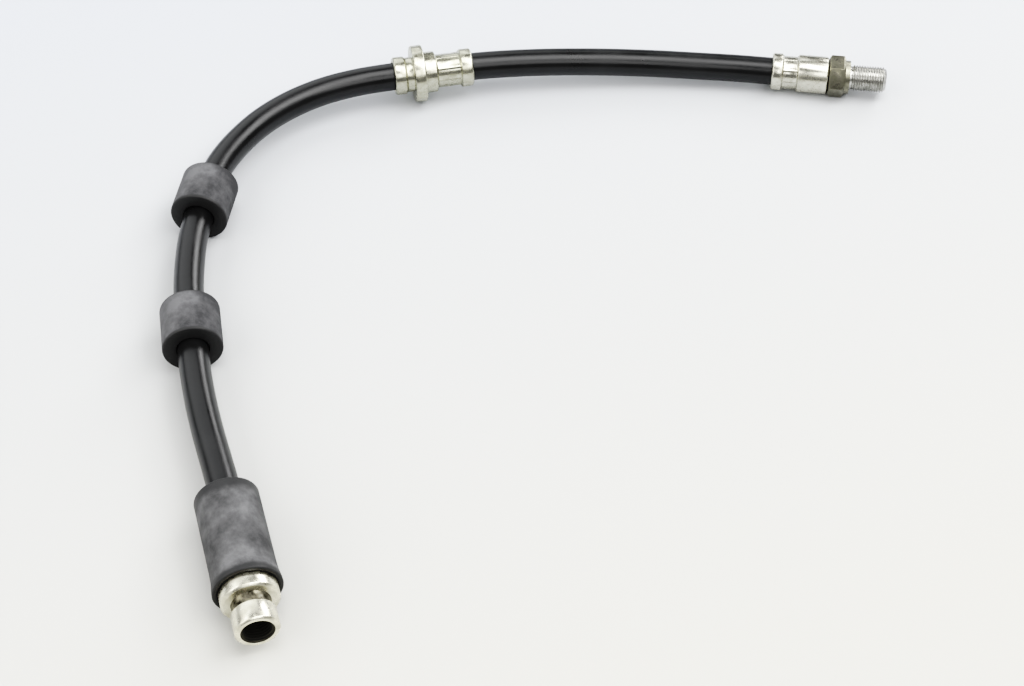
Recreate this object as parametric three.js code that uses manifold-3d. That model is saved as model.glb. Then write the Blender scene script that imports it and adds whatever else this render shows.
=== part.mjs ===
import * as THREE from 'three';
import { mergeVertices } from 'three/addons/utils/BufferGeometryUtils.js';
import Module from 'manifold-3d';

// A car's brake hose lying flat on a table, in millimetres with +Z up.
// It is laid out from the mouth of its female end, whose axis runs along Y, and at the end
// the whole hose is moved so that the origin is under the middle of its bounding box.

// Driving dimensions

// Gap between pieces that touch.
const GAP = 0.3;
const HOSE_RADIUS = 5.25;
const HOSE_BORE = 1.6;
// The same M10x1 thread is inside the female end and outside the male end.
const THREAD_MAJOR = 4.95;
const THREAD_MINOR = 4.46;
const NIPPLE_RADIUS = 1.6;
const NIPPLE_BORE = 1.0;
const GROMMET_RADIUS = 10.25;
const GROMMET_LENGTH = 18.4;
// How far the crimped shells squeeze the rubber.
const CRIMP_DEPTH = 0.55;
// Facets around every turned piece.
const FACETS = 32;

// Height of the hose's axis where each piece rests on the table.
const FEMALE_HEIGHT = 11.0;
const GROMMET_HEIGHT = GROMMET_RADIUS;
const MIDDLE_HEIGHT = 10.75;
const MALE_HEIGHT = 7.2;

// Where the hose runs. It is straight wherever a piece holds it: in the female end, in the
// two grommets, in the middle fitting and in the male end, which lie in this order.
const ROUTE = [
  [0, 20.9, FEMALE_HEIGHT],
  [0, 32, FEMALE_HEIGHT],
  [0, 44, FEMALE_HEIGHT],
  [0, 56, FEMALE_HEIGHT],
  [-0.4, 69, 10.9],
  [-0.8, 82, 10.7],
  [-0.8, 94.5, 10.5],
  [-0.3, 107, 10.3],
  [0.7, 119, GROMMET_HEIGHT],
  [1.7, 128.2, GROMMET_HEIGHT],
  [2.7, 137.4, GROMMET_HEIGHT],
  [4.3, 149, GROMMET_HEIGHT],
  [6.7, 160.6, GROMMET_HEIGHT],
  [9.6, 171.6, GROMMET_HEIGHT],
  [13.5, 182.3, GROMMET_HEIGHT],
  [17.2, 190.8, GROMMET_HEIGHT],
  [20.9, 199.3, GROMMET_HEIGHT],
  [26.8, 209.3, 10.2],
  [35.0, 218.9, 10.1],
  [45.2, 227.6, 10.1],
  [57.2, 234.2, 10.2],
  [70.3, 238.3, 10.4],
  [84.2, 239.8, 10.6],
  [98.8, 239.3, MIDDLE_HEIGHT],
  [114.0, 238.1, MIDDLE_HEIGHT],
  [129.2, 236.9, MIDDLE_HEIGHT],
  [142.4, 235.3, 10.4],
  [157.2, 232.9, 9.8],
  [171.7, 229.9, 9.1],
  [186.1, 226.4, 8.4],
  [200.2, 222.3, 7.8],
  [214.2, 217.5, 7.4],
  [228.6, 212.2, MALE_HEIGHT],
  [241.2, 206.8, MALE_HEIGHT],
  [249.6, 203.2, MALE_HEIGHT],
  [258.0, 199.6, MALE_HEIGHT],
];
const HOSE_STEPS = 64;
const HOSE_SIDES = 12;

const wasm = await Module();
wasm.setup();

// Turned pieces: a closed profile of [radius, place along the axis] points is spun about Y.
// It runs up the outside and down the inside, so that the faces point out.
function turned(profile, facets = FACETS) {
  const points = profile.map(([radius, along]) => new THREE.Vector2(radius, along));
  const onAxis = profile[0][0] === 0 && profile[profile.length - 1][0] === 0;
  if (!onAxis) points.push(points[0].clone());
  return new THREE.LatheGeometry(points, facets);
}

function toSolid(geometry) {
  const bare = geometry.clone();
  bare.deleteAttribute('normal');
  bare.deleteAttribute('uv');
  const merged = mergeVertices(bare, 1e-4);
  return new wasm.Manifold(new wasm.Mesh({
    numProp: 3,
    vertProperties: merged.attributes.position.array,
    triVerts: new Uint32Array(merged.index.array),
  }));
}

function toGeometry(solid) {
  const mesh = solid.getMesh();
  const geometry = new THREE.BufferGeometry();
  geometry.setAttribute('position', new THREE.BufferAttribute(mesh.vertProperties, 3));
  geometry.setIndex(new THREE.BufferAttribute(mesh.triVerts, 1));
  geometry.computeVertexNormals();
  return geometry;
}

// A hexagon with a chamfered front and back, between two places along Y, a flat on top.
function chamferedHexagon(acrossFlats, from, to) {
  const flatRadius = acrossFlats / 2;
  const cornerRadius = flatRadius / Math.cos(Math.PI / 6);
  const corners = [];
  for (let i = 0; i < 6; i++) {
    const angle = i * Math.PI / 3;
    corners.push(new THREE.Vector2(cornerRadius * Math.cos(angle), cornerRadius * Math.sin(angle)));
  }
  const length = to - from;
  const prism = new THREE.ExtrudeGeometry(new THREE.Shape(corners), { depth: length, bevelEnabled: false });
  prism.rotateX(-Math.PI / 2);
  prism.translate(0, from, 0);
  // The chamfer leaves a round face just inside the flats and cuts the corners at 30 degrees.
  const faceRadius = flatRadius - 0.2;
  const drop = (cornerRadius + 0.1 - faceRadius) * Math.tan(Math.PI / 6);
  const envelope = turned([
    [0, from],
    [faceRadius, from],
    [cornerRadius + 0.1, from + drop],
    [cornerRadius + 0.1, to - drop],
    [faceRadius, to],
    [0, to],
  ]);
  return toSolid(prism).intersect(toSolid(envelope));
}

const rubberBlack = new THREE.MeshStandardMaterial({ color: 0x1b1b1c, roughness: 0.35, metalness: 0 });
const rubberGrey = new THREE.MeshStandardMaterial({ color: 0x55565a, roughness: 0.85, metalness: 0 });
const zincSteel = new THREE.MeshStandardMaterial({ color: 0xd6d7d0, roughness: 0.28, metalness: 1 });
const darkSteel = new THREE.MeshStandardMaterial({ color: 0x84836f, roughness: 0.35, metalness: 1 });

const brakeHose = new THREE.Group();

function addMesh(parent, name, geometry, material) {
  const mesh = new THREE.Mesh(geometry, material);
  mesh.name = name;
  parent.add(mesh);
  return mesh;
}

// Crimped ends
// Each end is built about its own Y axis, which points into the hose. Its zero is the face
// where the shell's front wall sits against the body of the fitting.
const SHELL_RADIUS = 7.2;
const SHELL_LENGTH = 21.6;
const SHELL_WALL = 1.6;
const SHELL_INSIDE = HOSE_RADIUS + GAP;
const NECK_RADIUS = 4.3;
const COLLAR_RADIUS = 5.2;
const COLLAR_START = SHELL_WALL + GAP;
const HOSE_SEAT = COLLAR_START + 1.5;
const HOSE_END = HOSE_SEAT + GAP;
const NIPPLE_END = 22.4;
const CRIMP_START = 12.0;
const CRIMP_END = 17.2;
const CRIMP_SLOPE = 0.6;
const CRIMP_RADIUS = SHELL_RADIUS - 1.05;

// The shell is a deep cup. Its front wall is locked behind the fitting's collar, and one wide
// band near its open end is squeezed into the rubber.
function crimpShell() {
  const squeezed = SHELL_INSIDE - CRIMP_DEPTH;
  return turned([
    [NECK_RADIUS + GAP, 0],
    [SHELL_RADIUS - 0.5, 0],
    [SHELL_RADIUS, 0.5],
    [SHELL_RADIUS, CRIMP_START - CRIMP_SLOPE],
    [CRIMP_RADIUS, CRIMP_START],
    [CRIMP_RADIUS, CRIMP_END],
    [SHELL_RADIUS - 0.1, CRIMP_END + CRIMP_SLOPE],
    [SHELL_RADIUS - 0.1, SHELL_LENGTH - 0.5],
    [SHELL_RADIUS - 0.6, SHELL_LENGTH],
    [SHELL_INSIDE + 0.3, SHELL_LENGTH],
    [SHELL_INSIDE, SHELL_LENGTH - 0.6],
    [SHELL_INSIDE, CRIMP_END + CRIMP_SLOPE],
    [squeezed, CRIMP_END],
    [squeezed, CRIMP_START],
    [SHELL_INSIDE, CRIMP_START - CRIMP_SLOPE],
    [SHELL_INSIDE, SHELL_WALL],
    [NECK_RADIUS + GAP, SHELL_WALL],
  ]);
}

// Neck, locking collar and nipple, the same on both fittings: the outline from the back face
// of a body of the given radius to the bore at the nipple's tip.
function nippleOutline(bodyRadius) {
  const outline = [
    [bodyRadius, -GAP],
    [NECK_RADIUS, -GAP],
    [NECK_RADIUS, COLLAR_START],
    [COLLAR_RADIUS, COLLAR_START],
    [COLLAR_RADIUS, HOSE_SEAT],
    [NIPPLE_RADIUS, HOSE_SEAT],
  ];
  // Barbs that grip the liner: each rises slowly from the tip's side and drops at once.
  const barbs = 4;
  const barbPitch = (NIPPLE_END - 1.2 - HOSE_SEAT) / barbs;
  for (let i = 0; i < barbs; i++) {
    const start = HOSE_SEAT + i * barbPitch;
    outline.push([NIPPLE_RADIUS - 0.15, start + 0.5]);
    outline.push([NIPPLE_RADIUS, start + barbPitch * 0.4]);
    outline.push([NIPPLE_RADIUS, start + barbPitch * 0.6]);
  }
  outline.push([NIPPLE_RADIUS - 0.15, NIPPLE_END - 1.2]);
  outline.push([NIPPLE_BORE + 0.15, NIPPLE_END]);
  outline.push([NIPPLE_BORE, NIPPLE_END]);
  return outline;
}

// Female end: nose, clip groove, round stop flange and body, with a threaded bore that ends in
// a cone for the pipe's flare.
const FEMALE_LENGTH = 17.2;
const NOSE_RADIUS = 7.0;
const GROOVE_START = 7.0;
const GROOVE_END = 10.8;
const STOP_END = 16.4;
const STOP_RADIUS = 9.2;
const BODY_RADIUS = 6.9;
const THREAD_DEPTH = 11.0;
const MOUTH_RADIUS = 5.35;

function femaleFitting() {
  const mouth = -FEMALE_LENGTH;
  const coneDepth = (THREAD_MINOR - NIPPLE_BORE) * Math.tan(Math.PI / 6);
  return turned([
    [MOUTH_RADIUS, mouth],
    [NOSE_RADIUS - 0.6, mouth],
    [NOSE_RADIUS, mouth + 0.6],
    [NOSE_RADIUS, mouth + GROOVE_START],
    [NOSE_RADIUS - 0.8, mouth + GROOVE_START],
    [NOSE_RADIUS - 0.8, mouth + GROOVE_END],
    [STOP_RADIUS - 0.7, mouth + GROOVE_END],
    [STOP_RADIUS, mouth + GROOVE_END + 0.7],
    [STOP_RADIUS, mouth + STOP_END - 0.3],
    [STOP_RADIUS - 0.3, mouth + STOP_END],
    [BODY_RADIUS, mouth + STOP_END],
    ...nippleOutline(BODY_RADIUS),
    [NIPPLE_BORE, mouth + THREAD_DEPTH + coneDepth],
    [THREAD_MINOR, mouth + THREAD_DEPTH],
    [THREAD_MINOR, mouth + MOUTH_RADIUS - THREAD_MINOR],
  ]);
}

// Male end: hexagon, round collar and the thread, with a bore right through.
const HEX_ACROSS_FLATS = 14;
const HEX_LENGTH = 6.2;
const COLLAR_LENGTH = 1.8;
const THREAD_LENGTH = 14.0;
const MALE_COLLAR_RADIUS = 6.4;

function maleFitting() {
  const hexEnd = -GAP - HEX_LENGTH;
  const collarEnd = hexEnd - COLLAR_LENGTH;
  const tip = collarEnd - THREAD_LENGTH;
  const threadRoot = THREAD_MAJOR - 0.6;
  const blank = turned([
    [NIPPLE_BORE + 0.4, tip],
    [THREAD_MAJOR - 1.2, tip],
    [THREAD_MAJOR, tip + 1.2],
    [THREAD_MAJOR, collarEnd - 1.6],
    [threadRoot, collarEnd - 1.0],
    [threadRoot, collarEnd],
    [MALE_COLLAR_RADIUS, collarEnd],
    ...nippleOutline(MALE_COLLAR_RADIUS),
    [NIPPLE_BORE, tip + 0.4],
  ]);
  const core = toSolid(turned([
    [0, hexEnd - 1],
    [THREAD_MAJOR, hexEnd - 1],
    [THREAD_MAJOR, 1],
    [0, 1],
  ]));
  const hexagon = chamferedHexagon(HEX_ACROSS_FLATS, hexEnd, -GAP);
  return toGeometry(toSolid(blank).add(hexagon.subtract(core)));
}

// Sleeve and grommets

// The sleeve's mouth opens out a little and holds the back edge of the stop flange. It ends on
// the bare hose, where it is narrower inside. Zero is the shell's front face, as above.
const SLEEVE_START = -1.5;
const SLEEVE_END = 35.4;
const SLEEVE_RADIUS = 10.35;
const SLEEVE_MOUTH_RADIUS = FEMALE_HEIGHT;
const SLEEVE_MOUTH_LENGTH = 9;
const RUBBER_EDGE = 0.7;

function protectiveSleeve() {
  const hoseHole = HOSE_RADIUS + GAP;
  const shellHole = SHELL_RADIUS + GAP;
  const step = SHELL_LENGTH + GAP;
  const seatRadius = STOP_RADIUS + GAP;
  const seat = STOP_END - FEMALE_LENGTH + GAP;
  return turned([
    [seatRadius, SLEEVE_START],
    [SLEEVE_MOUTH_RADIUS - 0.3, SLEEVE_START],
    [SLEEVE_MOUTH_RADIUS, SLEEVE_START + 0.3],
    [SLEEVE_RADIUS + 0.15, SLEEVE_START + SLEEVE_MOUTH_LENGTH / 2],
    [SLEEVE_RADIUS, SLEEVE_START + SLEEVE_MOUTH_LENGTH],
    [SLEEVE_RADIUS, SLEEVE_END - RUBBER_EDGE],
    [SLEEVE_RADIUS - RUBBER_EDGE, SLEEVE_END],
    [hoseHole, SLEEVE_END],
    [hoseHole, step],
    [shellHole, step],
    [shellHole, seat],
    [seatRadius, seat],
  ]);
}

function grommet() {
  const hole = HOSE_RADIUS + GAP + 0.1;
  const half = GROMMET_LENGTH / 2;
  const edge = RUBBER_EDGE / 2;
  return turned([
    [hole, -half],
    [GROMMET_RADIUS - edge, -half],
    [GROMMET_RADIUS, -half + edge],
    [GROMMET_RADIUS, half - edge],
    [GROMMET_RADIUS - edge, half],
    [hole, half],
  ]);
}

// Middle fitting: one turned collar with a flange, crimped on the hose. Zero is its middle and
// Y runs along the hose towards the male end.
const MIDDLE_HALF = 15.2;
const MIDDLE_LIP_RADIUS = 7.2;
const FLANGE_RADIUS = MIDDLE_HEIGHT;
const FLANGE_FROM = -7.9;
const FLANGE_TO = -3.4;
const SHOULDER_RADIUS = 7.8;
const BAND_FROM = 1.6;
const BAND_TO = 10.2;
const BAND_SLOPE = 0.7;

function middleFitting() {
  const squeezed = SHELL_INSIDE - CRIMP_DEPTH;
  return turned([
    [SHELL_INSIDE + 0.3, -MIDDLE_HALF],
    [MIDDLE_LIP_RADIUS - 0.5, -MIDDLE_HALF],
    [MIDDLE_LIP_RADIUS, -MIDDLE_HALF + 0.5],
    [MIDDLE_LIP_RADIUS, -MIDDLE_HALF + 4.2],
    [MIDDLE_LIP_RADIUS - 0.6, -MIDDLE_HALF + 4.8],
    [MIDDLE_LIP_RADIUS - 0.6, FLANGE_FROM],
    [FLANGE_RADIUS - 0.4, FLANGE_FROM],
    [FLANGE_RADIUS, FLANGE_FROM + 0.4],
    [FLANGE_RADIUS, FLANGE_TO - 0.4],
    [FLANGE_RADIUS - 0.4, FLANGE_TO],
    [SHOULDER_RADIUS, FLANGE_TO],
    [SHOULDER_RADIUS, BAND_FROM - BAND_SLOPE],
    [CRIMP_RADIUS, BAND_FROM],
    [CRIMP_RADIUS, BAND_TO],
    [MIDDLE_LIP_RADIUS, BAND_TO + BAND_SLOPE],
    [MIDDLE_LIP_RADIUS, MIDDLE_HALF - 0.5],
    [MIDDLE_LIP_RADIUS - 0.5, MIDDLE_HALF],
    [SHELL_INSIDE + 0.3, MIDDLE_HALF],
    [SHELL_INSIDE, MIDDLE_HALF - 0.6],
    [SHELL_INSIDE, BAND_TO + BAND_SLOPE],
    [squeezed, BAND_TO],
    [squeezed, BAND_FROM],
    [SHELL_INSIDE, BAND_FROM - BAND_SLOPE],
    [SHELL_INSIDE, -MIDDLE_HALF + 0.6],
  ]);
}

// Placing along the route

const routePoints = ROUTE.map(([x, y, z]) => new THREE.Vector3(x, y, z));
const path = new THREE.CatmullRomCurve3(routePoints, false, 'catmullrom', 0.5);
const last = routePoints.length - 1;

// A frame at a point of the route, its Y axis turned the way from one neighbour to the other.
function frameAt(point, from, to) {
  const frame = new THREE.Group();
  const along = to.clone().sub(from).normalize();
  frame.quaternion.setFromUnitVectors(new THREE.Vector3(0, 1, 0), along);
  frame.position.copy(point);
  frame.updateMatrix();
  brakeHose.add(frame);
  return frame;
}

function frameOnRoute(index) {
  return frameAt(routePoints[index], routePoints[index - 1], routePoints[index + 1]);
}

const femaleEnd = frameAt(routePoints[0], routePoints[0], routePoints[1]);
femaleEnd.translateY(-HOSE_END);
femaleEnd.updateMatrix();
const maleEnd = frameAt(routePoints[last], routePoints[last], routePoints[last - 1]);
maleEnd.translateY(-HOSE_END);
maleEnd.updateMatrix();
const nearGrommet = frameOnRoute(9);
const farGrommet = frameOnRoute(15);
const middle = frameOnRoute(24);

// Hose: an annular section swept along the route, then its bore is opened where the nipples
// stretch it and its cover is pressed in under the crimped bands.

function roundHole(radius, from, to, frame) {
  const plug = turned([[0, from], [radius, from], [radius, to], [0, to]], HOSE_SIDES);
  plug.applyMatrix4(frame.matrix);
  return toSolid(plug);
}

function pressedBand(from, to, slope, frame) {
  const clear = HOSE_RADIUS + 2;
  const band = turned([
    [HOSE_RADIUS - CRIMP_DEPTH, from],
    [HOSE_RADIUS, from - slope],
    [clear, from - slope],
    [clear, to + slope],
    [HOSE_RADIUS, to + slope],
    [HOSE_RADIUS - CRIMP_DEPTH, to],
  ], 2 * HOSE_SIDES);
  band.applyMatrix4(frame.matrix);
  return toSolid(band);
}

function hose() {
  const section = new THREE.Shape();
  section.absarc(0, 0, HOSE_RADIUS, 0, 2 * Math.PI);
  const bore = new THREE.Path();
  bore.absarc(0, 0, HOSE_BORE, 0, 2 * Math.PI, true);
  section.holes.push(bore);
  const tube = new THREE.ExtrudeGeometry(section, {
    steps: HOSE_STEPS,
    curveSegments: HOSE_SIDES / 2,
    extrudePath: path,
  });
  let solid = toSolid(tube);
  for (const end of [femaleEnd, maleEnd]) {
    solid = solid.subtract(roundHole(NIPPLE_RADIUS + GAP, HOSE_END - 1, NIPPLE_END + 2 * GAP, end));
    solid = solid.subtract(pressedBand(CRIMP_START, CRIMP_END, CRIMP_SLOPE, end));
  }
  solid = solid.subtract(pressedBand(BAND_FROM, BAND_TO, BAND_SLOPE, middle));
  return toGeometry(solid);
}

addMesh(brakeHose, 'hose', hose(), rubberBlack);
addMesh(femaleEnd, 'female_fitting', femaleFitting(), zincSteel);
addMesh(femaleEnd, 'female_crimp_shell', crimpShell(), zincSteel);
addMesh(femaleEnd, 'protective_sleeve', protectiveSleeve(), rubberGrey);
addMesh(nearGrommet, 'near_grommet', grommet(), rubberGrey);
addMesh(farGrommet, 'far_grommet', grommet(), rubberGrey);
addMesh(middle, 'middle_fitting', middleFitting(), zincSteel);
addMesh(maleEnd, 'male_crimp_shell', crimpShell(), zincSteel);
addMesh(maleEnd, 'male_fitting', maleFitting(), darkSteel);

// The origin goes under the middle of the bounding box.
brakeHose.updateMatrixWorld(true);
const box = new THREE.Box3().setFromObject(brakeHose, true);
const centre = box.getCenter(new THREE.Vector3());
brakeHose.position.set(-centre.x, -centre.y, -box.min.z);

export default brakeHose;
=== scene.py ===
import math

import bpy
from mathutils import Matrix, Vector


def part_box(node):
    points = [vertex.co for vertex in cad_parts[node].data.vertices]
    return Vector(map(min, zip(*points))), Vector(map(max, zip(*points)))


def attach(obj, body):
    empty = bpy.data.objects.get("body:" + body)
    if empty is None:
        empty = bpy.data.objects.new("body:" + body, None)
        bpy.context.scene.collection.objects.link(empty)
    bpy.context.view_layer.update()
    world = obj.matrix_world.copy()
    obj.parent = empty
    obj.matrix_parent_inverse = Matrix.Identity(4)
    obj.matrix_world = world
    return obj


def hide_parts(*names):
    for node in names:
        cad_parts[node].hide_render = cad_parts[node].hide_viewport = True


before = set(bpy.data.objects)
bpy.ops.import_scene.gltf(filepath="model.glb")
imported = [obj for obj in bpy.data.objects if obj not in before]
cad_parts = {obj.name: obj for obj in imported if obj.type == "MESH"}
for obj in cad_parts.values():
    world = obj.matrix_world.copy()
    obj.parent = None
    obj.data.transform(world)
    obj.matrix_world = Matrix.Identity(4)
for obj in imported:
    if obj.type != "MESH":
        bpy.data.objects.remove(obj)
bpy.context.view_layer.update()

# Camera
# A 70 mm lens looks down on the table from in front of the female end, a little to its left.
# Its place is measured in metres from the mouth of the female end.
mouth_low, mouth_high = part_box("female_fitting")
MOUTH = Vector(((mouth_low.x + mouth_high.x) / 2, mouth_low.y, 0.0))
CAMERA_FROM_MOUTH = Vector((-0.0204, -0.3469, 0.5003))
LOOK_DOWN = math.radians(47)
LOOK_RIGHT = math.radians(15.86)
bpy.ops.object.select_all(action="DESELECT")
bpy.ops.object.camera_add(
    location=MOUTH + CAMERA_FROM_MOUTH,
    rotation=(math.pi / 2 - LOOK_DOWN, 0, -LOOK_RIGHT),
)
camera = bpy.context.object
camera.name = "camera"
camera.data.lens = 70
camera.data.sensor_width = 36
bpy.context.scene.camera = camera

# Hose
# One length of 10.5 mm rubber brake hose, extruded and vulcanised, glossy black. It is the
# piece that all the others sit on, so its route places them too.
MM = 0.001
HOSE_RADIUS = 5.25 * MM

# The heights at which the sleeve, the grommets, the middle flange and the male end carry it,
# and its route from the mouth of the female end, all in millimetres.
FEMALE_HEIGHT = 11.0
GROMMET_HEIGHT = 10.25
MIDDLE_HEIGHT = 10.75
MALE_HEIGHT = 7.2
ROUTE = [
    (0, 20.9, FEMALE_HEIGHT),
    (0, 32, FEMALE_HEIGHT),
    (0, 44, FEMALE_HEIGHT),
    (0, 56, FEMALE_HEIGHT),
    (-0.4, 69, 10.9),
    (-0.8, 82, 10.7),
    (-0.8, 94.5, 10.5),
    (-0.3, 107, 10.3),
    (0.7, 119, GROMMET_HEIGHT),
    (1.7, 128.2, GROMMET_HEIGHT),
    (2.7, 137.4, GROMMET_HEIGHT),
    (4.3, 149, GROMMET_HEIGHT),
    (6.7, 160.6, GROMMET_HEIGHT),
    (9.6, 171.6, GROMMET_HEIGHT),
    (13.5, 182.3, GROMMET_HEIGHT),
    (17.2, 190.8, GROMMET_HEIGHT),
    (20.9, 199.3, GROMMET_HEIGHT),
    (26.8, 209.3, 10.2),
    (35.0, 218.9, 10.1),
    (45.2, 227.6, 10.1),
    (57.2, 234.2, 10.2),
    (70.3, 238.3, 10.4),
    (84.2, 239.8, 10.6),
    (98.8, 239.3, MIDDLE_HEIGHT),
    (114.0, 238.1, MIDDLE_HEIGHT),
    (129.2, 236.9, MIDDLE_HEIGHT),
    (142.4, 235.3, 10.4),
    (157.2, 232.9, 9.8),
    (171.7, 229.9, 9.1),
    (186.1, 226.4, 8.4),
    (200.2, 222.3, 7.8),
    (214.2, 217.5, 7.4),
    (228.6, 212.2, MALE_HEIGHT),
    (241.2, 206.8, MALE_HEIGHT),
    (249.6, 203.2, MALE_HEIGHT),
    (258.0, 199.6, MALE_HEIGHT),
]
route = [MOUTH + Vector(point) * MM for point in ROUTE]

bpy.ops.object.select_all(action="DESELECT")
bpy.ops.curve.primitive_bezier_curve_add(location=(0, 0, 0))
hose = bpy.context.object
hose.name = hose.data.name = "black_hose"
spline = hose.data.splines[0]
spline.bezier_points.add(len(route) - len(spline.bezier_points))
for number, knot in enumerate(spline.bezier_points):
    before = route[max(number - 1, 0)]
    after = route[min(number + 1, len(route) - 1)]
    reach = (after - before) / 6
    knot.handle_left_type = knot.handle_right_type = "FREE"
    knot.co = route[number]
    knot.handle_left = route[number] - reach
    knot.handle_right = route[number] + reach
hose.data.dimensions = "3D"
hose.data.twist_mode = "Z_UP"
hose.data.resolution_u = 12
hose.data.bevel_depth = HOSE_RADIUS
hose.data.bevel_resolution = 14
hose.data.use_fill_caps = True


def new_material(name):
    """A new material with its Principled shader, ready to be wired up."""
    material = bpy.data.materials.new(name)
    material.use_nodes = True
    nodes = material.node_tree.nodes
    return material, nodes, material.node_tree.links, nodes["Principled BSDF"]


def shader_group(name, inputs, outputs):
    """An empty node group with named inputs (name, kind, value) and outputs (name, kind)."""
    group = bpy.data.node_groups.new(name, "ShaderNodeTree")
    for title, kind, value in inputs:
        socket = group.interface.new_socket(title, in_out="INPUT", socket_type=kind)
        socket.default_value = value
    for title, kind in outputs:
        group.interface.new_socket(title, in_out="OUTPUT", socket_type=kind)
    start = group.nodes.new("NodeGroupInput")
    end = group.nodes.new("NodeGroupOutput")
    return group, start, end


def place_group(nodes, group, **values):
    """A copy of a node group in a material, with its own values."""
    node = nodes.new("ShaderNodeGroup")
    node.node_tree = group
    for title, value in values.items():
        node.inputs[title.replace("_", " ")].default_value = value
    return node


# The cover is near black and rather glossy, with faint lines drawn along it by the extruder's
# die and a few dull spots from handling. The curve's own UV runs along it and around it.
rubber, nodes, links, shader = new_material("hose_rubber")
coords = nodes.new("ShaderNodeTexCoord")
die_lines_map = nodes.new("ShaderNodeMapping")
die_lines_map.inputs["Scale"].default_value = (90.0, 5.0, 1.0)
links.new(coords.outputs["UV"], die_lines_map.inputs["Vector"])
die_lines = nodes.new("ShaderNodeTexNoise")
die_lines.inputs["Scale"].default_value = 1.0
die_lines.inputs["Detail"].default_value = 3.0
links.new(die_lines_map.outputs["Vector"], die_lines.inputs["Vector"])
handling = nodes.new("ShaderNodeTexNoise")
handling.inputs["Scale"].default_value = 55.0
handling.inputs["Detail"].default_value = 5.0
handling.inputs["Roughness"].default_value = 0.6
links.new(coords.outputs["Object"], handling.inputs["Vector"])
tone = nodes.new("ShaderNodeValToRGB")
tone.color_ramp.elements[0].position = 0.35
tone.color_ramp.elements[0].color = (0.004, 0.004, 0.0042, 1)
tone.color_ramp.elements[1].position = 0.75
tone.color_ramp.elements[1].color = (0.010, 0.010, 0.0105, 1)
links.new(handling.outputs["Fac"], tone.inputs["Fac"])
links.new(tone.outputs["Color"], shader.inputs["Base Color"])
shader.inputs["Specular IOR Level"].default_value = 0.48
gloss = nodes.new("ShaderNodeMapRange")
gloss.inputs["From Min"].default_value = 0.3
gloss.inputs["From Max"].default_value = 0.75
gloss.inputs["To Min"].default_value = 0.26
gloss.inputs["To Max"].default_value = 0.38
links.new(handling.outputs["Fac"], gloss.inputs["Value"])
links.new(gloss.outputs["Result"], shader.inputs["Roughness"])
lines_bump = nodes.new("ShaderNodeBump")
lines_bump.inputs["Strength"].default_value = 0.35
lines_bump.inputs["Distance"].default_value = 0.00012
links.new(die_lines.outputs["Fac"], lines_bump.inputs["Height"])
links.new(lines_bump.outputs["Normal"], shader.inputs["Normal"])
hose.data.materials.append(rubber)
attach(hose, "root")
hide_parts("hose")

# Female fitting
# Turned from steel bar and zinc-plated: a nose with a clip groove, a round stop flange and a
# threaded bore for the brake pipe. Its barbed nipple is pressed into the end of the hose.

# Places along a fitting's axis are in millimetres from the closed end of its crimp shell.
FEMALE_MOUTH = -17.2
MOUTH_RADIUS = 5.35
NOSE_RADIUS = 7.0
CLIP_GROOVE_RADIUS = 6.2
CLIP_GROOVE_FRONT = FEMALE_MOUTH + 7.0
STOP_RADIUS = 9.2
STOP_FRONT = FEMALE_MOUTH + 10.8
STOP_BACK = FEMALE_MOUTH + 16.4
FEMALE_BACK_RADIUS = 6.9
BORE_BOTTOM = FEMALE_MOUTH + 11.0
EDGE = 0.12

# The threads are M10x1. The female one's bore is a little wider than the male one's root.
THREAD_CREST = 4.95
THREAD_ROOT = 4.4
THREAD_PITCH = 1.0
FEMALE_THREAD_RADIUS = THREAD_ROOT + 0.06

# Behind its body, each fitting has a neck in the shell's eye, a collar that the shell is
# locked on, and the nipple. The gap stands for the press fits between pieces that touch.
GAP = 0.3
NECK_RADIUS = 4.3
LOCK_RADIUS = 5.2
LOCK_FRONT = 1.9
LOCK_BACK = 3.4
HOSE_END = 3.7
NIPPLE_RADIUS = 1.6
NIPPLE_TIP = 22.4
PIPE_BORE = 1.0
BARBS = 4
BARB_PITCH = 4.45
BARB_DEPTH = 0.15
LATHE_FACETS = 96


def only(piece):
    """Selects one piece and nothing else."""
    bpy.ops.object.select_all(action="DESELECT")
    piece.select_set(True)
    bpy.context.view_layer.objects.active = piece


def turned(name, stations, facets=LATHE_FACETS):
    """A turned piece about its own Z axis, from closed (radius, place) stations in millimetres.
    A ring is drawn out and resized from station to station, as a lathe's cuts follow."""
    bpy.ops.object.select_all(action="DESELECT")
    radius, place = stations[0]
    bpy.ops.mesh.primitive_circle_add(vertices=facets, radius=radius * MM, location=(0, 0, 0))
    piece = bpy.context.object
    piece.name = piece.data.name = name
    bpy.ops.object.mode_set(mode="EDIT")
    bpy.ops.mesh.select_all(action="SELECT")
    bpy.ops.transform.translate(value=(0, 0, place * MM))
    for next_radius, next_place in stations[1:] + stations[:1]:
        step = (0, 0, (next_place - place) * MM)
        bpy.ops.mesh.extrude_region_move(TRANSFORM_OT_translate={"value": step})
        growth = next_radius / radius
        centre = (0, 0, next_place * MM)
        bpy.ops.transform.resize(value=(growth, growth, 1), center_override=centre)
        radius, place = next_radius, next_place
    bpy.ops.mesh.select_all(action="SELECT")
    bpy.ops.mesh.remove_doubles(threshold=0.000001)
    bpy.ops.mesh.normals_make_consistent(inside=False)
    bpy.ops.object.mode_set(mode="OBJECT")
    return piece


def modify(piece, kind, **settings):
    """Adds a modifier with its settings and applies it."""
    only(piece)
    modifier = piece.modifiers.new(kind.lower(), kind)
    for title, value in settings.items():
        setattr(modifier, title, value)
    bpy.ops.object.modifier_apply(modifier=modifier.name)


def machine(piece, tool, operation):
    """Cuts the piece with a tool, or keeps only what both share, then puts the tool away."""
    modify(piece, "BOOLEAN", object=tool, operation=operation, solver="EXACT")
    bpy.data.objects.remove(tool)


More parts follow.
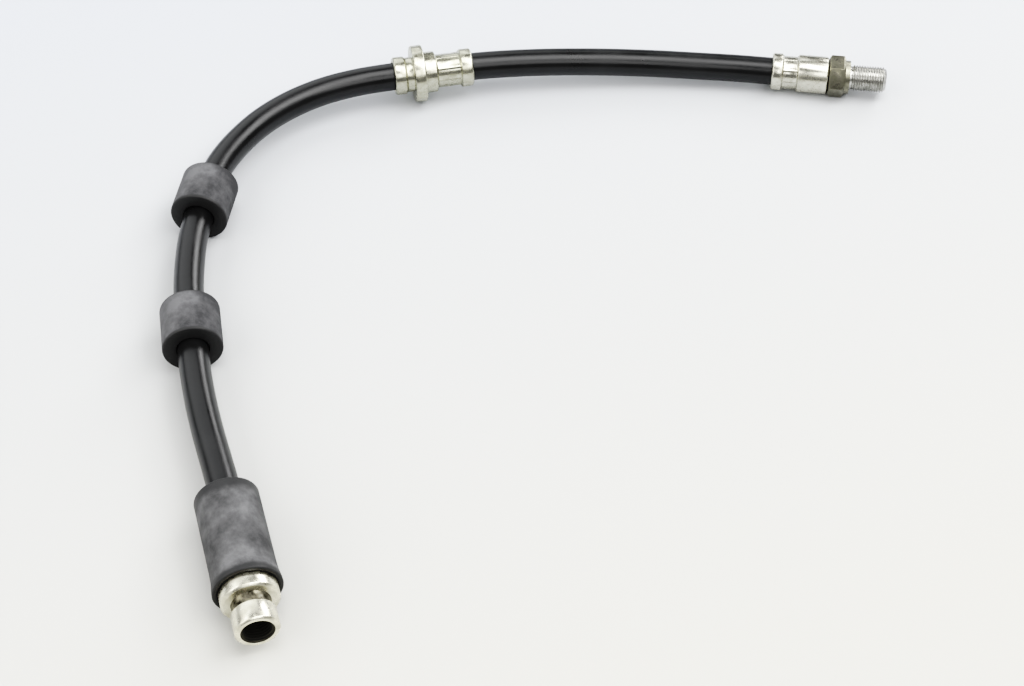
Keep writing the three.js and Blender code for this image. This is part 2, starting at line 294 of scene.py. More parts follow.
def break_edges(piece, width):
    """Rounds every sharp edge by a width in millimetres."""
    modify(
        piece,
        "BEVEL",
        width=width * MM,
        segments=2,
        limit_method="ANGLE",
        angle_limit=math.radians(25),
    )


def thread_tool(deep, land, outside, start, end):
    """The space that a thread cutter leaves: a groove with 60 degree sides that winds about
    the Z axis, from its deep radius past the land's radius to a radius outside the steel."""
    floor_half = THREAD_PITCH / 8
    mouth_half = floor_half + abs(land - deep) * math.tan(math.pi / 6)
    section = [
        (deep, -floor_half),
        (deep, floor_half),
        (land, mouth_half),
        (outside, mouth_half),
        (outside, -mouth_half),
        (land, -mouth_half),
    ]
    bpy.ops.object.select_all(action="DESELECT")
    bpy.ops.mesh.primitive_circle_add(vertices=len(section), radius=MM, location=(0, 0, 0))
    tool = bpy.context.object
    for vertex, (radius, place) in zip(tool.data.vertices, section):
        vertex.co = (radius * MM, 0, (start + place) * MM)
    modify(
        tool,
        "SCREW",
        axis="Z",
        angle=2 * math.pi,
        screw_offset=THREAD_PITCH * MM,
        iterations=math.ceil((end - start) / THREAD_PITCH),
        steps=60,
        render_steps=60,
        use_merge_vertices=False,
    )
    bpy.ops.object.mode_set(mode="EDIT")
    bpy.ops.mesh.select_all(action="SELECT")
    bpy.ops.mesh.remove_doubles(threshold=0.000001)
    bpy.ops.mesh.select_all(action="SELECT")
    bpy.ops.mesh.fill_holes(sides=len(section))
    bpy.ops.mesh.select_all(action="SELECT")
    bpy.ops.mesh.normals_make_consistent(inside=False)
    bpy.ops.object.mode_set(mode="OBJECT")
    return tool


def nipple(body_radius):
    """Stations of a fitting's neck, locking collar and barbed nipple, down to the bore at its
    tip. They follow the back face of a body of the given radius."""
    stations = [
        (body_radius, -GAP),
        (NECK_RADIUS, -GAP),
        (NECK_RADIUS, LOCK_FRONT),
        (LOCK_RADIUS, LOCK_FRONT),
        (LOCK_RADIUS, LOCK_BACK),
        (NIPPLE_RADIUS, LOCK_BACK),
    ]
    for barb in range(BARBS):
        start = LOCK_BACK + barb * BARB_PITCH
        stations.append((NIPPLE_RADIUS - BARB_DEPTH, start + 0.5))
        stations.append((NIPPLE_RADIUS, start + 1.8))
        stations.append((NIPPLE_RADIUS, start + 2.7))
    stations.append((NIPPLE_RADIUS - BARB_DEPTH, NIPPLE_TIP - 1.2))
    stations.append((PIPE_BORE + 0.15, NIPPLE_TIP))
    stations.append((PIPE_BORE, NIPPLE_TIP))
    return stations


def place_along(piece, point, direction):
    """Keeps each point's place on the lathe as an attribute, which the finish reads, then
    moves the piece so that its Z axis lies along the direction, with its Y axis up."""
    on_lathe = piece.data.attributes.new("on_lathe", "FLOAT_VECTOR", "POINT")
    for vertex in piece.data.vertices:
        on_lathe.data[vertex.index].vector = vertex.co
    only(piece)
    bpy.ops.object.shade_smooth_by_angle(angle=math.radians(30))
    turn = direction.to_track_quat("Z", "Y").to_matrix().to_4x4()
    piece.matrix_world = Matrix.Translation(point) @ turn
    bpy.ops.object.transform_apply(location=True, rotation=True, scale=True)


# Turning marks run round a turned piece, closer and finer on some stretches than on others.
# The plating over them is a little uneven, with small dull patches.
turning_marks, start, end = shader_group(
    "turning_marks",
    [("Patch Scale", "NodeSocketFloat", 420.0)],
    [("Height", "NodeSocketFloat"), ("Patches", "NodeSocketFloat")],
)
nodes, links = turning_marks.nodes, turning_marks.links
on_lathe = nodes.new("ShaderNodeAttribute")
on_lathe.attribute_name = "on_lathe"
along_axis = nodes.new("ShaderNodeMapping")
along_axis.inputs["Scale"].default_value = (12, 12, 4200)
links.new(on_lathe.outputs["Vector"], along_axis.inputs["Vector"])
marks = nodes.new("ShaderNodeTexNoise")
marks.inputs["Scale"].default_value = 1.0
marks.inputs["Detail"].default_value = 2.0
links.new(along_axis.outputs["Vector"], marks.inputs["Vector"])
patches = nodes.new("ShaderNodeTexNoise")
patches.inputs["Detail"].default_value = 4.0
patches.inputs["Roughness"].default_value = 0.55
links.new(on_lathe.outputs["Vector"], patches.inputs["Vector"])
links.new(start.outputs["Patch Scale"], patches.inputs["Scale"])
links.new(marks.outputs["Fac"], end.inputs["Height"])
links.new(patches.outputs["Fac"], end.inputs["Patches"])


def plated_steel(name, bright, dull, smooth, rough):
    """Zinc-plated turned steel, from a bright and smooth finish to a dull and rough one."""
    steel, nodes, links, shader = new_material(name)
    shader.inputs["Metallic"].default_value = 1.0
    surface = place_group(nodes, turning_marks, Patch_Scale=420.0)
    spread = nodes.new("ShaderNodeValToRGB")
    spread.color_ramp.elements[0].position = 0.35
    spread.color_ramp.elements[0].color = (*dull, 1)
    spread.color_ramp.elements[1].position = 0.62
    spread.color_ramp.elements[1].color = (*bright, 1)
    links.new(surface.outputs["Patches"], spread.inputs["Fac"])
    links.new(spread.outputs["Color"], shader.inputs["Base Color"])
    gloss = nodes.new("ShaderNodeMapRange")
    gloss.inputs["From Min"].default_value = 0.35
    gloss.inputs["From Max"].default_value = 0.65
    gloss.inputs["To Min"].default_value = rough
    gloss.inputs["To Max"].default_value = smooth
    links.new(surface.outputs["Patches"], gloss.inputs["Value"])
    links.new(gloss.outputs["Result"], shader.inputs["Roughness"])
    bump = nodes.new("ShaderNodeBump")
    bump.inputs["Strength"].default_value = 0.5
    bump.inputs["Distance"].default_value = 0.00002
    links.new(surface.outputs["Height"], bump.inputs["Height"])
    links.new(bump.outputs["Normal"], shader.inputs["Normal"])
    return steel


bright_zinc = plated_steel("bright_zinc", (0.78, 0.755, 0.64), (0.62, 0.595, 0.49), 0.22, 0.38)

# The clip groove's steel is painted dark and patchy: painted shade in the recess between
# the nose and the stop flange.
shaded_groove_steel = plated_steel("shaded_groove_steel", (0.24, 0.225, 0.18), (0.03, 0.028, 0.022), 0.35, 0.50)

# The bore's steel is painted near black and mottled: dull bare steel where the plating is thin,
# and painted shade deep in the hole.
bore_steel_and_shade, nodes, links, shader = new_material("bore_steel_and_shade")
shader.inputs["Metallic"].default_value = 0.7
shader.inputs["Roughness"].default_value = 0.45
bore_mottle = nodes.new("ShaderNodeTexNoise")
bore_mottle.inputs["Scale"].default_value = 600.0
bore_dark_and_shade = nodes.new("ShaderNodeValToRGB")
bore_dark_and_shade.color_ramp.elements[0].color = (0.02, 0.019, 0.016, 1)
bore_dark_and_shade.color_ramp.elements[1].color = (0.07, 0.067, 0.055, 1)
links.new(bore_mottle.outputs["Fac"], bore_dark_and_shade.inputs["Fac"])
links.new(bore_dark_and_shade.outputs["Color"], shader.inputs["Base Color"])

female_start = (route[1] - route[0]).normalized()
female_zero = route[0] - female_start * HOSE_END * MM
female_fitting = turned(
    "female_fitting_steel",
    [
        (MOUTH_RADIUS, FEMALE_MOUTH),
        (NOSE_RADIUS - 0.6, FEMALE_MOUTH),
        (NOSE_RADIUS, FEMALE_MOUTH + 0.6),
        (NOSE_RADIUS, CLIP_GROOVE_FRONT),
        (CLIP_GROOVE_RADIUS, CLIP_GROOVE_FRONT),
        (CLIP_GROOVE_RADIUS, STOP_FRONT),
        (STOP_RADIUS - 0.7, STOP_FRONT),
        (STOP_RADIUS, STOP_FRONT + 0.7),
        (STOP_RADIUS, STOP_BACK - 0.3),
        (STOP_RADIUS - 0.3, STOP_BACK),
        (FEMALE_BACK_RADIUS, STOP_BACK),
        *nipple(FEMALE_BACK_RADIUS),
        (PIPE_BORE, BORE_BOTTOM + 2.0),
        (FEMALE_THREAD_RADIUS, BORE_BOTTOM),
        (FEMALE_THREAD_RADIUS, FEMALE_MOUTH + 0.9),
    ],
)
break_edges(female_fitting, EDGE)
female_thread = thread_tool(
    THREAD_CREST,
    FEMALE_THREAD_RADIUS,
    THREAD_ROOT - 0.4,
    FEMALE_MOUTH - 1.0,
    BORE_BOTTOM - 1.6,
)
machine(female_fitting, female_thread, "DIFFERENCE")
for finish in (bright_zinc, bore_steel_and_shade, shaded_groove_steel):
    female_fitting.data.materials.append(finish)
for face in female_fitting.data.polygons:
    radius = math.hypot(face.center.x, face.center.y) / MM
    place = face.center.z / MM
    # In the bore the faces take the near-black finish, which is partly painted shade.
    in_bore = radius < MOUTH_RADIUS - 0.05 and place < BORE_BOTTOM
    # On the clip groove the faces take the dark finish that paints shade in the recess.
    on_groove = radius < CLIP_GROOVE_RADIUS + 0.2 and CLIP_GROOVE_FRONT < place < STOP_FRONT
    if in_bore:
        face.material_index = 1
    elif on_groove:
        face.material_index = 2
place_along(female_fitting, female_zero, female_start)
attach(female_fitting, "root")
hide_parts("female_fitting")

# Crimp shells
# A drawn and plated steel cup at each end of the hose. Its wall is locked behind the fitting's
# collar, and eight jaws have squeezed one wide band of it into the rubber.
SHELL_RADIUS = 7.2
SHELL_BACK_RADIUS = SHELL_RADIUS - 0.1
SHELL_HOLE = 5.55
SHELL_EYE = 4.6
SHELL_WALL = 1.6
SHELL_LENGTH = 21.6
BAND_RADIUS = 6.15
BAND_HOLE = SHELL_HOLE - 0.55
BAND_SLOPE = 0.6
SHELL_BAND = (12.0, 17.2)
SOFT_EDGE = 0.15

# A ridge's half width is a share of the way from one jaw to the next, and its rise is a share
# of the band's radius.
JAWS = 8
RIDGE_HALF_WIDTH = 0.02
RIDGE_RISE = 1.035

shell_zinc = plated_steel("shell_zinc", (0.63, 0.615, 0.535), (0.50, 0.485, 0.41), 0.18, 0.32)


def jaw_marks(piece, band):
    """Raises the thin ridge that is left between two jaws, eight times around a band that
    lies between two places along the Z axis."""
    only(piece)
    bpy.ops.object.mode_set(mode="EDIT")
    bpy.ops.mesh.select_all(action="DESELECT")
    bpy.ops.mesh.select_mode(type="VERT")
    bpy.ops.object.mode_set(mode="OBJECT")
    first, last = band
    for vertex in piece.data.vertices:
        angle = math.atan2(vertex.co.y, vertex.co.x) / (2 * math.pi) * JAWS
        between_jaws = abs(angle - round(angle)) < RIDGE_HALF_WIDTH
        in_band = (first - 0.1) * MM < vertex.co.z < (last + 0.1) * MM
        outside = math.hypot(vertex.co.x, vertex.co.y) > (BAND_RADIUS - 0.1) * MM
        vertex.select = between_jaws and in_band and outside
    bpy.ops.object.mode_set(mode="EDIT")
    bpy.ops.transform.resize(value=(RIDGE_RISE, RIDGE_RISE, 1), center_override=(0, 0, 0))
    bpy.ops.object.mode_set(mode="OBJECT")


def crimp_shell(name, point, direction):
    """A shell with its closed end at a point, opening in a direction."""
    band_front, band_back = SHELL_BAND
    shell = turned(
        name,
        [
            (SHELL_EYE, 0),
            (SHELL_RADIUS - 0.5, 0),
            (SHELL_RADIUS, 0.5),
            (SHELL_RADIUS, band_front - BAND_SLOPE),
            (BAND_RADIUS, band_front),
            (BAND_RADIUS, band_back),
            (SHELL_BACK_RADIUS, band_back + BAND_SLOPE),
            (SHELL_BACK_RADIUS, SHELL_LENGTH - 0.5),
            (SHELL_BACK_RADIUS - 0.5, SHELL_LENGTH),
            (SHELL_HOLE + 0.3, SHELL_LENGTH),
            (SHELL_HOLE, SHELL_LENGTH - 0.6),
            (SHELL_HOLE, band_back + BAND_SLOPE),
            (BAND_HOLE, band_back),
            (BAND_HOLE, band_front),
            (SHELL_HOLE, band_front - BAND_SLOPE),
            (SHELL_HOLE, SHELL_WALL),
            (SHELL_EYE, SHELL_WALL),
        ],
    )
    jaw_marks(shell, SHELL_BAND)
    break_edges(shell, SOFT_EDGE)
    place_along(shell, point, direction)
    shell.data.materials.append(shell_zinc)
    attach(shell, "root")
    return shell


female_shell = crimp_shell("female_shell_steel", female_zero, female_start)
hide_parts("female_crimp_shell")
male_start = (route[-2] - route[-1]).normalized()
male_zero = route[-1] - male_start * HOSE_END * MM
male_shell = crimp_shell("male_shell_steel", male_zero, male_start)
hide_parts("male_crimp_shell")

# Protective sleeve
# A moulded tube of soft rubber, pushed over the female end until its mouth is stretched over
# the back of the stop flange. It is grey with dust, and bare black at both ends, which is
# painted shade along its rims.
SLEEVE_RADIUS = 10.35
SLEEVE_MOUTH_RADIUS = 11.0
SLEEVE_FRONT = -1.5
SLEEVE_SEAT_RADIUS = STOP_RADIUS + GAP
SLEEVE_SEAT = STOP_BACK + GAP
SLEEVE_INNER_RADIUS = SHELL_RADIUS + GAP
SLEEVE_STEP = 21.9
SLEEVE_BACK = 35.4
MOULD_FACETS = 128

# Dust lies on the moulded rubber in smudges. Lean makes it thicker on one flank, which is
# painted light on the side that the lamps favour. Along a ragged strip at each end of the piece
# the dust gives way to bare black rubber, which is painted shade along the rims, and none lies
# on the cut ends.
rubber_dust, start, end = shader_group(
    "rubber_dust",
    [
        ("Front End", "NodeSocketFloat", 0.0),
        ("Front Strip", "NodeSocketFloat", 0.001),
        ("Back End", "NodeSocketFloat", 0.02),
        ("Back Strip", "NodeSocketFloat", 0.001),
        ("Lean", "NodeSocketFloat", 0.0),
    ],
    [("Dusted Between Shaded Ends", "NodeSocketFloat"), ("Smudges", "NodeSocketFloat"), ("Grain", "NodeSocketFloat")],
)
nodes, links = rubber_dust.nodes, rubber_dust.links
on_lathe = nodes.new("ShaderNodeAttribute")
on_lathe.attribute_name = "on_lathe"
axis_place = nodes.new("ShaderNodeSeparateXYZ")
links.new(on_lathe.outputs["Vector"], axis_place.inputs["Vector"])
smudges = nodes.new("ShaderNodeTexNoise")
smudges.inputs["Scale"].default_value = 95.0
smudges.inputs["Detail"].default_value = 6.0
smudges.inputs["Roughness"].default_value = 0.65
links.new(on_lathe.outputs["Vector"], smudges.inputs["Vector"])
# Lean lifts the dust on one flank: painted light.
lit_flank_dust = nodes.new("ShaderNodeMath")
lit_flank_dust.operation = "MULTIPLY_ADD"
links.new(axis_place.outputs["X"], lit_flank_dust.inputs[0])
links.new(start.outputs["Lean"], lit_flank_dust.inputs[1])
links.new(smudges.outputs["Fac"], lit_flank_dust.inputs[2])
links.new(lit_flank_dust.outputs["Value"], end.inputs["Smudges"])
grain = nodes.new("ShaderNodeTexNoise")
grain.inputs["Scale"].default_value = 1500.0
grain.inputs["Detail"].default_value = 3.0
links.new(on_lathe.outputs["Vector"], grain.inputs["Vector"])
links.new(grain.outputs["Fac"], end.inputs["Grain"])
dust_between_shaded_ends = nodes.new("ShaderNodeMath")
dust_between_shaded_ends.operation = "MINIMUM"
links.new(dust_between_shaded_ends.outputs["Value"], end.inputs["Dusted Between Shaded Ends"])
# Near each end the dust fades to bare black rubber: painted shade along the rims.
for side, (title, place_socket, end_socket) in enumerate((("Front", 0, 1), ("Back", 1, 0))):
    inwards = nodes.new("ShaderNodeMath")
    inwards.operation = "SUBTRACT"
    links.new(axis_place.outputs["Z"], inwards.inputs[place_socket])
    links.new(start.outputs[title + " End"], inwards.inputs[end_socket])
    strips = nodes.new("ShaderNodeMath")
    strips.operation = "DIVIDE"
    links.new(inwards.outputs["Value"], strips.inputs[0])
    links.new(start.outputs[title + " Strip"], strips.inputs[1])
    ragged = nodes.new("ShaderNodeMath")
    ragged.operation = "MULTIPLY_ADD"
    ragged.inputs[1].default_value = 1.2
    links.new(smudges.outputs["Fac"], ragged.inputs[0])
    links.new(strips.outputs["Value"], ragged.inputs[2])
    past_strip = nodes.new("ShaderNodeMapRange")
    past_strip.interpolation_type = "SMOOTHSTEP"
    past_strip.inputs["From Min"].default_value = 1.2
    past_strip.inputs["From Max"].default_value = 1.9
    links.new(ragged.outputs["Value"], past_strip.inputs["Value"])
    links.new(past_strip.outputs["Result"], dust_between_shaded_ends.inputs[side])


def dusty_rubber(name, front, front_shade_strip, back, back_shade_strip, thin_dust, thick_dust, painted_light_lean):
    """Moulded black rubber, grey with dust between its two ends, with painted shade at
    the ends and painted light on one flank.
    """
    material, nodes, links, shader = new_material(name)
    surface = place_group(
        nodes,
        rubber_dust,
        Front_End=front * MM,
        Front_Strip=front_shade_strip * MM,
        Back_End=back * MM,
        Back_Strip=back_shade_strip * MM,
        Lean=painted_light_lean,
    )
    dust = nodes.new("ShaderNodeValToRGB")
    dust.color_ramp.elements[0].position = 0.34
    dust.color_ramp.elements[0].color = (*thin_dust, 1)
    dust.color_ramp.elements[1].position = 0.66
    dust.color_ramp.elements[1].color = (*thick_dust, 1)
    links.new(surface.outputs["Smudges"], dust.inputs["Fac"])
    colour = nodes.new("ShaderNodeMix")
    colour.data_type = "RGBA"
    colour.inputs["A"].default_value = (0.027, 0.027, 0.0275, 1)
    links.new(surface.outputs["Dusted Between Shaded Ends"], colour.inputs["Factor"])
    links.new(dust.outputs["Color"], colour.inputs["B"])
    links.new(colour.outputs["Result"], shader.inputs["Base Color"])
    matt = nodes.new("ShaderNodeMapRange")
    matt.inputs["To Min"].default_value = 0.5
    matt.inputs["To Max"].default_value = 0.8
    links.new(surface.outputs["Dusted Between Shaded Ends"], matt.inputs["Value"])
    links.new(matt.outputs["Result"], shader.inputs["Roughness"])
    shader.inputs["Specular IOR Level"].default_value = 0.3
    bump = nodes.new("ShaderNodeBump")
    bump.inputs["Strength"].default_value = 0.5
    bump.inputs["Distance"].default_value = 0.00008
    links.new(surface.outputs["Grain"], bump.inputs["Height"])
    links.new(bump.outputs["Normal"], shader.inputs["Normal"])
    return material


sleeve = turned(
    "dusty_sleeve",
    [
        (SLEEVE_SEAT_RADIUS, SLEEVE_FRONT),
        (SLEEVE_MOUTH_RADIUS - 0.3, SLEEVE_FRONT),
        (SLEEVE_MOUTH_RADIUS, SLEEVE_FRONT + 0.3),
        (SLEEVE_MOUTH_RADIUS - 0.07, SLEEVE_FRONT + 1.5),
        (SLEEVE_MOUTH_RADIUS - 0.28, SLEEVE_FRONT + 3.0),
        (SLEEVE_RADIUS + 0.15, SLEEVE_FRONT + 4.5),
        (SLEEVE_RADIUS + 0.05, SLEEVE_FRONT + 6.5),
        (SLEEVE_RADIUS, SLEEVE_FRONT + 9.0),
        (SLEEVE_RADIUS, SLEEVE_BACK - 0.7),
        (SLEEVE_RADIUS - 0.2, SLEEVE_BACK - 0.2),
        (SLEEVE_RADIUS - 0.7, SLEEVE_BACK),
        (SHELL_HOLE, SLEEVE_BACK),
        (SHELL_HOLE, SLEEVE_STEP),
        (SLEEVE_INNER_RADIUS, SLEEVE_STEP),
        (SLEEVE_INNER_RADIUS, SLEEVE_SEAT),
        (SLEEVE_SEAT_RADIUS, SLEEVE_SEAT),
    ],
    facets=MOULD_FACETS,
)
break_edges(sleeve, EDGE)
place_along(sleeve, female_zero, female_start)
# The sleeve's dust gives way to bare black near both ends, as painted shade along its rims.
sleeve_rubber = dusty_rubber(
    "sleeve_rubber",
    front=SLEEVE_FRONT,
    front_shade_strip=2.4,
    back=SLEEVE_BACK,
    back_shade_strip=4.5,
    thin_dust=(0.043, 0.043, 0.044),
    thick_dust=(0.130, 0.130, 0.133),
    painted_light_lean=0.0,
)
sleeve.data.materials.append(sleeve_rubber)
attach(sleeve, "root")
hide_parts("protective_sleeve")

# Grommets
# Two moulded rubber bushes that the car's clips hold. Each is a tight fit on the hose, at a
# point of its route, dusty round the outside and clean black on its cut ends. A black strip
# at each end is painted shade, and thicker dust on one flank is painted light.
GROMMET_RADIUS = 10.25
GROMMET_HOLE = 5.65
GROMMET_HALF = 9.2
GROMMET_ROUND = 0.35
NEAR_GROMMET_POINT = 9
FAR_GROMMET_POINT = 15

# The grommets' dust gives way to black at both ends, as painted shade, and the lean thickens it
# on one flank, as painted light.
grommet_rubber = dusty_rubber(
    "grommet_rubber",
    front=-GROMMET_HALF,
    front_shade_strip=1.1,
    back=GROMMET_HALF,
    back_shade_strip=0.6,
    thin_dust=(0.038, 0.038, 0.040),
    thick_dust=(0.120, 0.120, 0.124),
    painted_light_lean=14.0,
)
for name, point, node in (
    ("near_bush", NEAR_GROMMET_POINT, "near_grommet"),
    ("far_bush", FAR_GROMMET_POINT, "far_grommet"),
):
    bush = turned(
        name,
        [
            (GROMMET_HOLE, -GROMMET_HALF),
            (GROMMET_RADIUS - GROMMET_ROUND, -GROMMET_HALF),
            (GROMMET_RADIUS, -GROMMET_HALF + GROMMET_ROUND),
            (GROMMET_RADIUS, GROMMET_HALF - GROMMET_ROUND),
            (GROMMET_RADIUS - GROMMET_ROUND, GROMMET_HALF),
            (GROMMET_HOLE, GROMMET_HALF),
        ],
        facets=MOULD_FACETS,
    )
    break_edges(bush, SOFT_EDGE)
    along_hose = (route[point + 1] - route[point - 1]).normalized()
    place_along(bush, route[point], along_hose)
    bush.data.materials.append(grommet_rubber)
    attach(bush, "root")
    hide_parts(node)

# Middle fitting
# One turned and plated steel collar with a flange that a bracket holds. Its right-hand end is
# crimped on the hose, at a point of its route, by the same eight jaws as the shells.
MIDDLE_POINT = 24
MIDDLE_HALF = 15.2
MIDDLE_RADIUS = 7.2
MIDDLE_NECK_RADIUS = 6.6
MIDDLE_NECK_FRONT = -10.4
MIDDLE_FLANGE_RADIUS = 10.75
MIDDLE_FLANGE_FRONT = -7.9
MIDDLE_FLANGE_BACK = -3.4
MIDDLE_HUB_RADIUS = 7.8
MIDDLE_HUB_BACK = 0.9
MIDDLE_BAND = (1.6, 10.2)
MIDDLE_BAND_END = 10.9

straw_zinc = plated_steel("straw_zinc", (0.54, 0.53, 0.44), (0.43, 0.42, 0.33), 0.18, 0.32)

middle_fitting = turned(
    "middle_collar_steel",
    [
        (SHELL_HOLE + 0.3, -MIDDLE_HALF),
        (MIDDLE_RADIUS - 0.5, -MIDDLE_HALF),
        (MIDDLE_RADIUS, -MIDDLE_HALF + 0.5),
        (MIDDLE_RADIUS, MIDDLE_NECK_FRONT - 0.6),
        (MIDDLE_NECK_RADIUS, MIDDLE_NECK_FRONT),
        (MIDDLE_NECK_RADIUS, MIDDLE_FLANGE_FRONT),
        (MIDDLE_FLANGE_RADIUS - 0.4, MIDDLE_FLANGE_FRONT),
        (MIDDLE_FLANGE_RADIUS, MIDDLE_FLANGE_FRONT + 0.4),
        (MIDDLE_FLANGE_RADIUS, MIDDLE_FLANGE_BACK - 0.4),
        (MIDDLE_FLANGE_RADIUS - 0.4, MIDDLE_FLANGE_BACK),
        (MIDDLE_HUB_RADIUS, MIDDLE_FLANGE_BACK),
        (MIDDLE_HUB_RADIUS, MIDDLE_HUB_BACK),
        (BAND_RADIUS, MIDDLE_BAND[0]),
        (BAND_RADIUS, MIDDLE_BAND[1]),
        (MIDDLE_RADIUS, MIDDLE_BAND_END),
        (MIDDLE_RADIUS, MIDDLE_HALF - 0.5),
        (MIDDLE_RADIUS - 0.5, MIDDLE_HALF),
        (SHELL_HOLE + 0.3, MIDDLE_HALF),
        (SHELL_HOLE, MIDDLE_HALF - 0.6),
        (SHELL_HOLE, MIDDLE_BAND_END),
        (BAND_HOLE, MIDDLE_BAND[1]),
        (BAND_HOLE, MIDDLE_BAND[0]),
        (SHELL_HOLE, MIDDLE_HUB_BACK),
        (SHELL_HOLE, -MIDDLE_HALF + 0.6),
    ],
)
jaw_marks(middle_fitting, MIDDLE_BAND)
break_edges(middle_fitting, SOFT_EDGE)
along_hose = (route[MIDDLE_POINT + 1] - route[MIDDLE_POINT - 1]).normalized()
place_along(middle_fitting, route[MIDDLE_POINT], along_hose)
middle_fitting.data.materials.append(straw_zinc)
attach(middle_fitting, "root")
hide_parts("middle_fitting")

# Male fitting
# Turned from 14 mm hexagon bar, with a collar, 14 mm of M10 thread and a nipple in the hose.
# Its plating is dark and olive on the hexagon, and greyer on the thread.
MALE_ACROSS_FLATS = 14
HEX_FRONT = -6.5
HEX_BACK = -GAP
MALE_COLLAR_RADIUS = 6.4
MALE_COLLAR_FRONT = -8.3
THREAD_RELIEF_RADIUS = 4.35
MALE_TIP = -22.3
TIP_CHAMFER = 1.2
BAR_END = 30.0

olive_zinc = plated_steel("olive_zinc", (0.26, 0.25, 0.20), (0.17, 0.165, 0.125), 0.26, 0.40)
thread_zinc = plated_steel("thread_zinc", (0.54, 0.535, 0.51), (0.40, 0.395, 0.37), 0.22, 0.36)


def hexagon_bar(across_flats, start, end):
    """A hexagonal bar along the Z axis with a flat on its Y side."""
    bpy.ops.object.select_all(action="DESELECT")
    bpy.ops.mesh.primitive_cylinder_add(
        vertices=6,
        radius=across_flats / 2 / math.cos(math.pi / 6) * MM,
        depth=(end - start) * MM,
        location=(0, 0, (start + end) / 2 * MM),
        rotation=(0, 0, math.pi / 6),
    )
    bpy.ops.object.transform_apply(location=True, rotation=True, scale=True)
    return bpy.context.object


# The lathe has taken the hexagon's corners down by a 30 degree slope at both ends.
hexagon_corner = MALE_ACROSS_FLATS / 2 / math.cos(math.pi / 6) + 0.1
hexagon_face = MALE_ACROSS_FLATS / 2 - 0.2
hexagon_drop = (hexagon_corner - hexagon_face) * math.tan(math.pi / 6)
male_fitting = turned(
    "male_fitting_steel",
    [
        (PIPE_BORE + 0.4, MALE_TIP),
        (THREAD_CREST - TIP_CHAMFER, MALE_TIP),
        (THREAD_CREST, MALE_TIP + TIP_CHAMFER),
        (THREAD_CREST, MALE_COLLAR_FRONT - 1.6),
        (THREAD_RELIEF_RADIUS, MALE_COLLAR_FRONT - 1.0),
        (THREAD_RELIEF_RADIUS, MALE_COLLAR_FRONT),
        (MALE_COLLAR_RADIUS, MALE_COLLAR_FRONT),
        (MALE_COLLAR_RADIUS, HEX_FRONT),
        (hexagon_face, HEX_FRONT),
        (hexagon_corner, HEX_FRONT + hexagon_drop),
        (hexagon_corner, HEX_BACK - hexagon_drop),
        (hexagon_face, HEX_BACK),
        *nipple(hexagon_face)[1:],
        (PIPE_BORE, MALE_TIP + 0.4),
    ],
)
machine(male_fitting, hexagon_bar(MALE_ACROSS_FLATS, -BAR_END, BAR_END), "INTERSECT")
break_edges(male_fitting, EDGE)
male_thread = thread_tool(
    THREAD_ROOT,
    THREAD_CREST,
    THREAD_CREST + 0.3,
    MALE_TIP - 1.5,
    MALE_COLLAR_FRONT - 0.5,
)
machine(male_fitting, male_thread, "DIFFERENCE")
for finish in (olive_zinc, thread_zinc):
    male_fitting.data.materials.append(finish)
for face in male_fitting.data.polygons:
    face.material_index = int(face.center.z < MALE_COLLAR_FRONT * MM)
place_along(male_fitting, male_zero, male_start)
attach(male_fitting, "root")
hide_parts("male_fitting")

# Table
# A plain, matt table top in pale paint, wide enough to fill every view. Its colour is warmer
# at the front and cooler at the back: the painted tint of warm and cool light falling on it.
TABLE_SIZE = 6.0
WARM_TO_Y = -0.16
COOL_FROM_Y = 0.20
bpy.ops.object.select_all(action="DESELECT")
bpy.ops.mesh.primitive_plane_add(size=TABLE_SIZE, location=(0, 0, 0))
table = bpy.context.object
table.name = table.data.name = "table_top"
table_paint, nodes, links, shader = new_material("table_paint")
coords = nodes.new("ShaderNodeTexCoord")
across = nodes.new("ShaderNodeSeparateXYZ")
links.new(coords.outputs["Object"], across.inputs["Vector"])
from_front = nodes.new("ShaderNodeMapRange")
from_front.inputs["From Min"].default_value = WARM_TO_Y
from_front.inputs["From Max"].default_value = COOL_FROM_Y
links.new(across.outputs["Y"], from_front.inputs["Value"])
# The ramp runs from a warm tint at the front to a cool one at the back: painted tint of the
# light.
paint_and_light_tint = nodes.new("ShaderNodeValToRGB")
paint_and_light_tint.color_ramp.elements[0].color = (0.552, 0.546, 0.510, 1)
paint_and_light_tint.color_ramp.elements[1].color = (0.515, 0.538, 0.580, 1)
links.new(from_front.outputs["Result"], paint_and_light_tint.inputs["Fac"])
links.new(paint_and_light_tint.outputs["Color"], shader.inputs["Base Color"])
shader.inputs["Roughness"].default_value = 0.6
shader.inputs["Specular IOR Level"].default_value = 0.2
table.data.materials.append(table_paint)

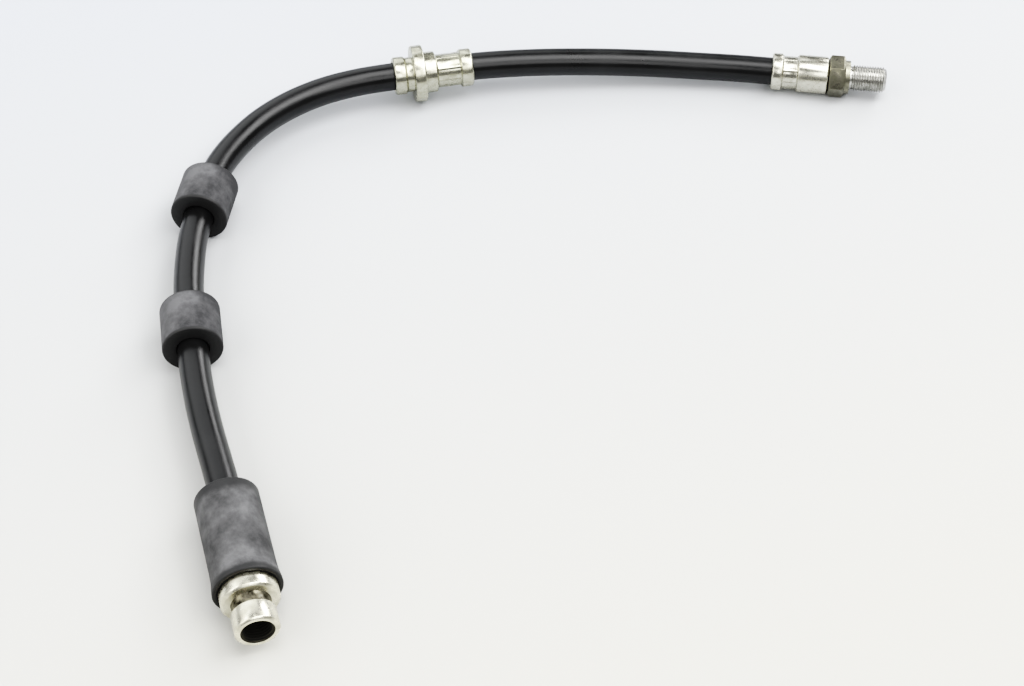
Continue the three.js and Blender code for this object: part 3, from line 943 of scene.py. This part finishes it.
# Light
# White soft boxes over the table, in front of it and to its right lay long reflections along
# the hose. Two broad walls, one a little cool and one a little warm, fill in from the back
# and the left. All face the middle of the object.
WHITE = (1.0, 1.0, 1.0)
COOL = (0.97, 0.99, 1.0)
WARM = (1.0, 0.99, 0.97)
LIGHTS = [
    ("overhead_box", (0.44, -0.44, 2.36), (1.24, 2.70), 33.0, WHITE),
    ("front_box", (0.20, -2.00, 1.90), (2.00, 1.20), 13.0, WHITE),
    ("right_box", (1.56, 0.10, 1.94), (1.40, 1.50), 26.0, WHITE),
    ("right_back_box", (1.68, 1.36, 1.04), (1.10, 0.90), 13.0, WHITE),
    ("back_wall", (-0.70, 2.10, 1.50), (3.4, 2.2), 22.5, COOL),
    ("left_wall", (-2.00, -0.30, 1.50), (3.0, 2.2), 32.5, WARM),
]
for name, place, size, watts, colour in LIGHTS:
    bpy.ops.object.select_all(action="DESELECT")
    bpy.ops.object.light_add(type="AREA", location=place)
    light = bpy.context.object
    light.name = light.data.name = name
    light.data.shape = "RECTANGLE"
    light.data.size, light.data.size_y = size
    light.data.energy = watts
    light.data.color = colour
    light.rotation_euler = (-Vector(place)).to_track_quat("-Z", "Y").to_euler()

world = bpy.data.worlds.new("studio")
world.use_nodes = True
background = world.node_tree.nodes["Background"]
background.inputs["Color"].default_value = (0.12, 0.12, 0.12, 1)
background.inputs["Strength"].default_value = 1.0
bpy.context.scene.world = world

# A camera's tone curve: deep blacks, lifted middle tones and a soft shoulder to white.
BRIGHTEST = 1.3
TONES = [
    (0.01, 0.005),
    (0.022, 0.010),
    (0.045, 0.045),
    (0.117, 0.185),
    (0.23, 0.41),
    (0.43, 0.635),
    (0.775, 0.875),
    (1.0, 0.95),
]
view = bpy.context.scene.view_settings
view.view_transform = "Standard"
view.use_curve_mapping = True
view.curve_mapping.clip_max_x = BRIGHTEST
tone_curve = view.curve_mapping.curves[3]
tone_curve.points[1].location = (BRIGHTEST, 1.0)
for scene_light, picture_light in TONES:
    tone_curve.points.new(scene_light, picture_light)
view.curve_mapping.update()
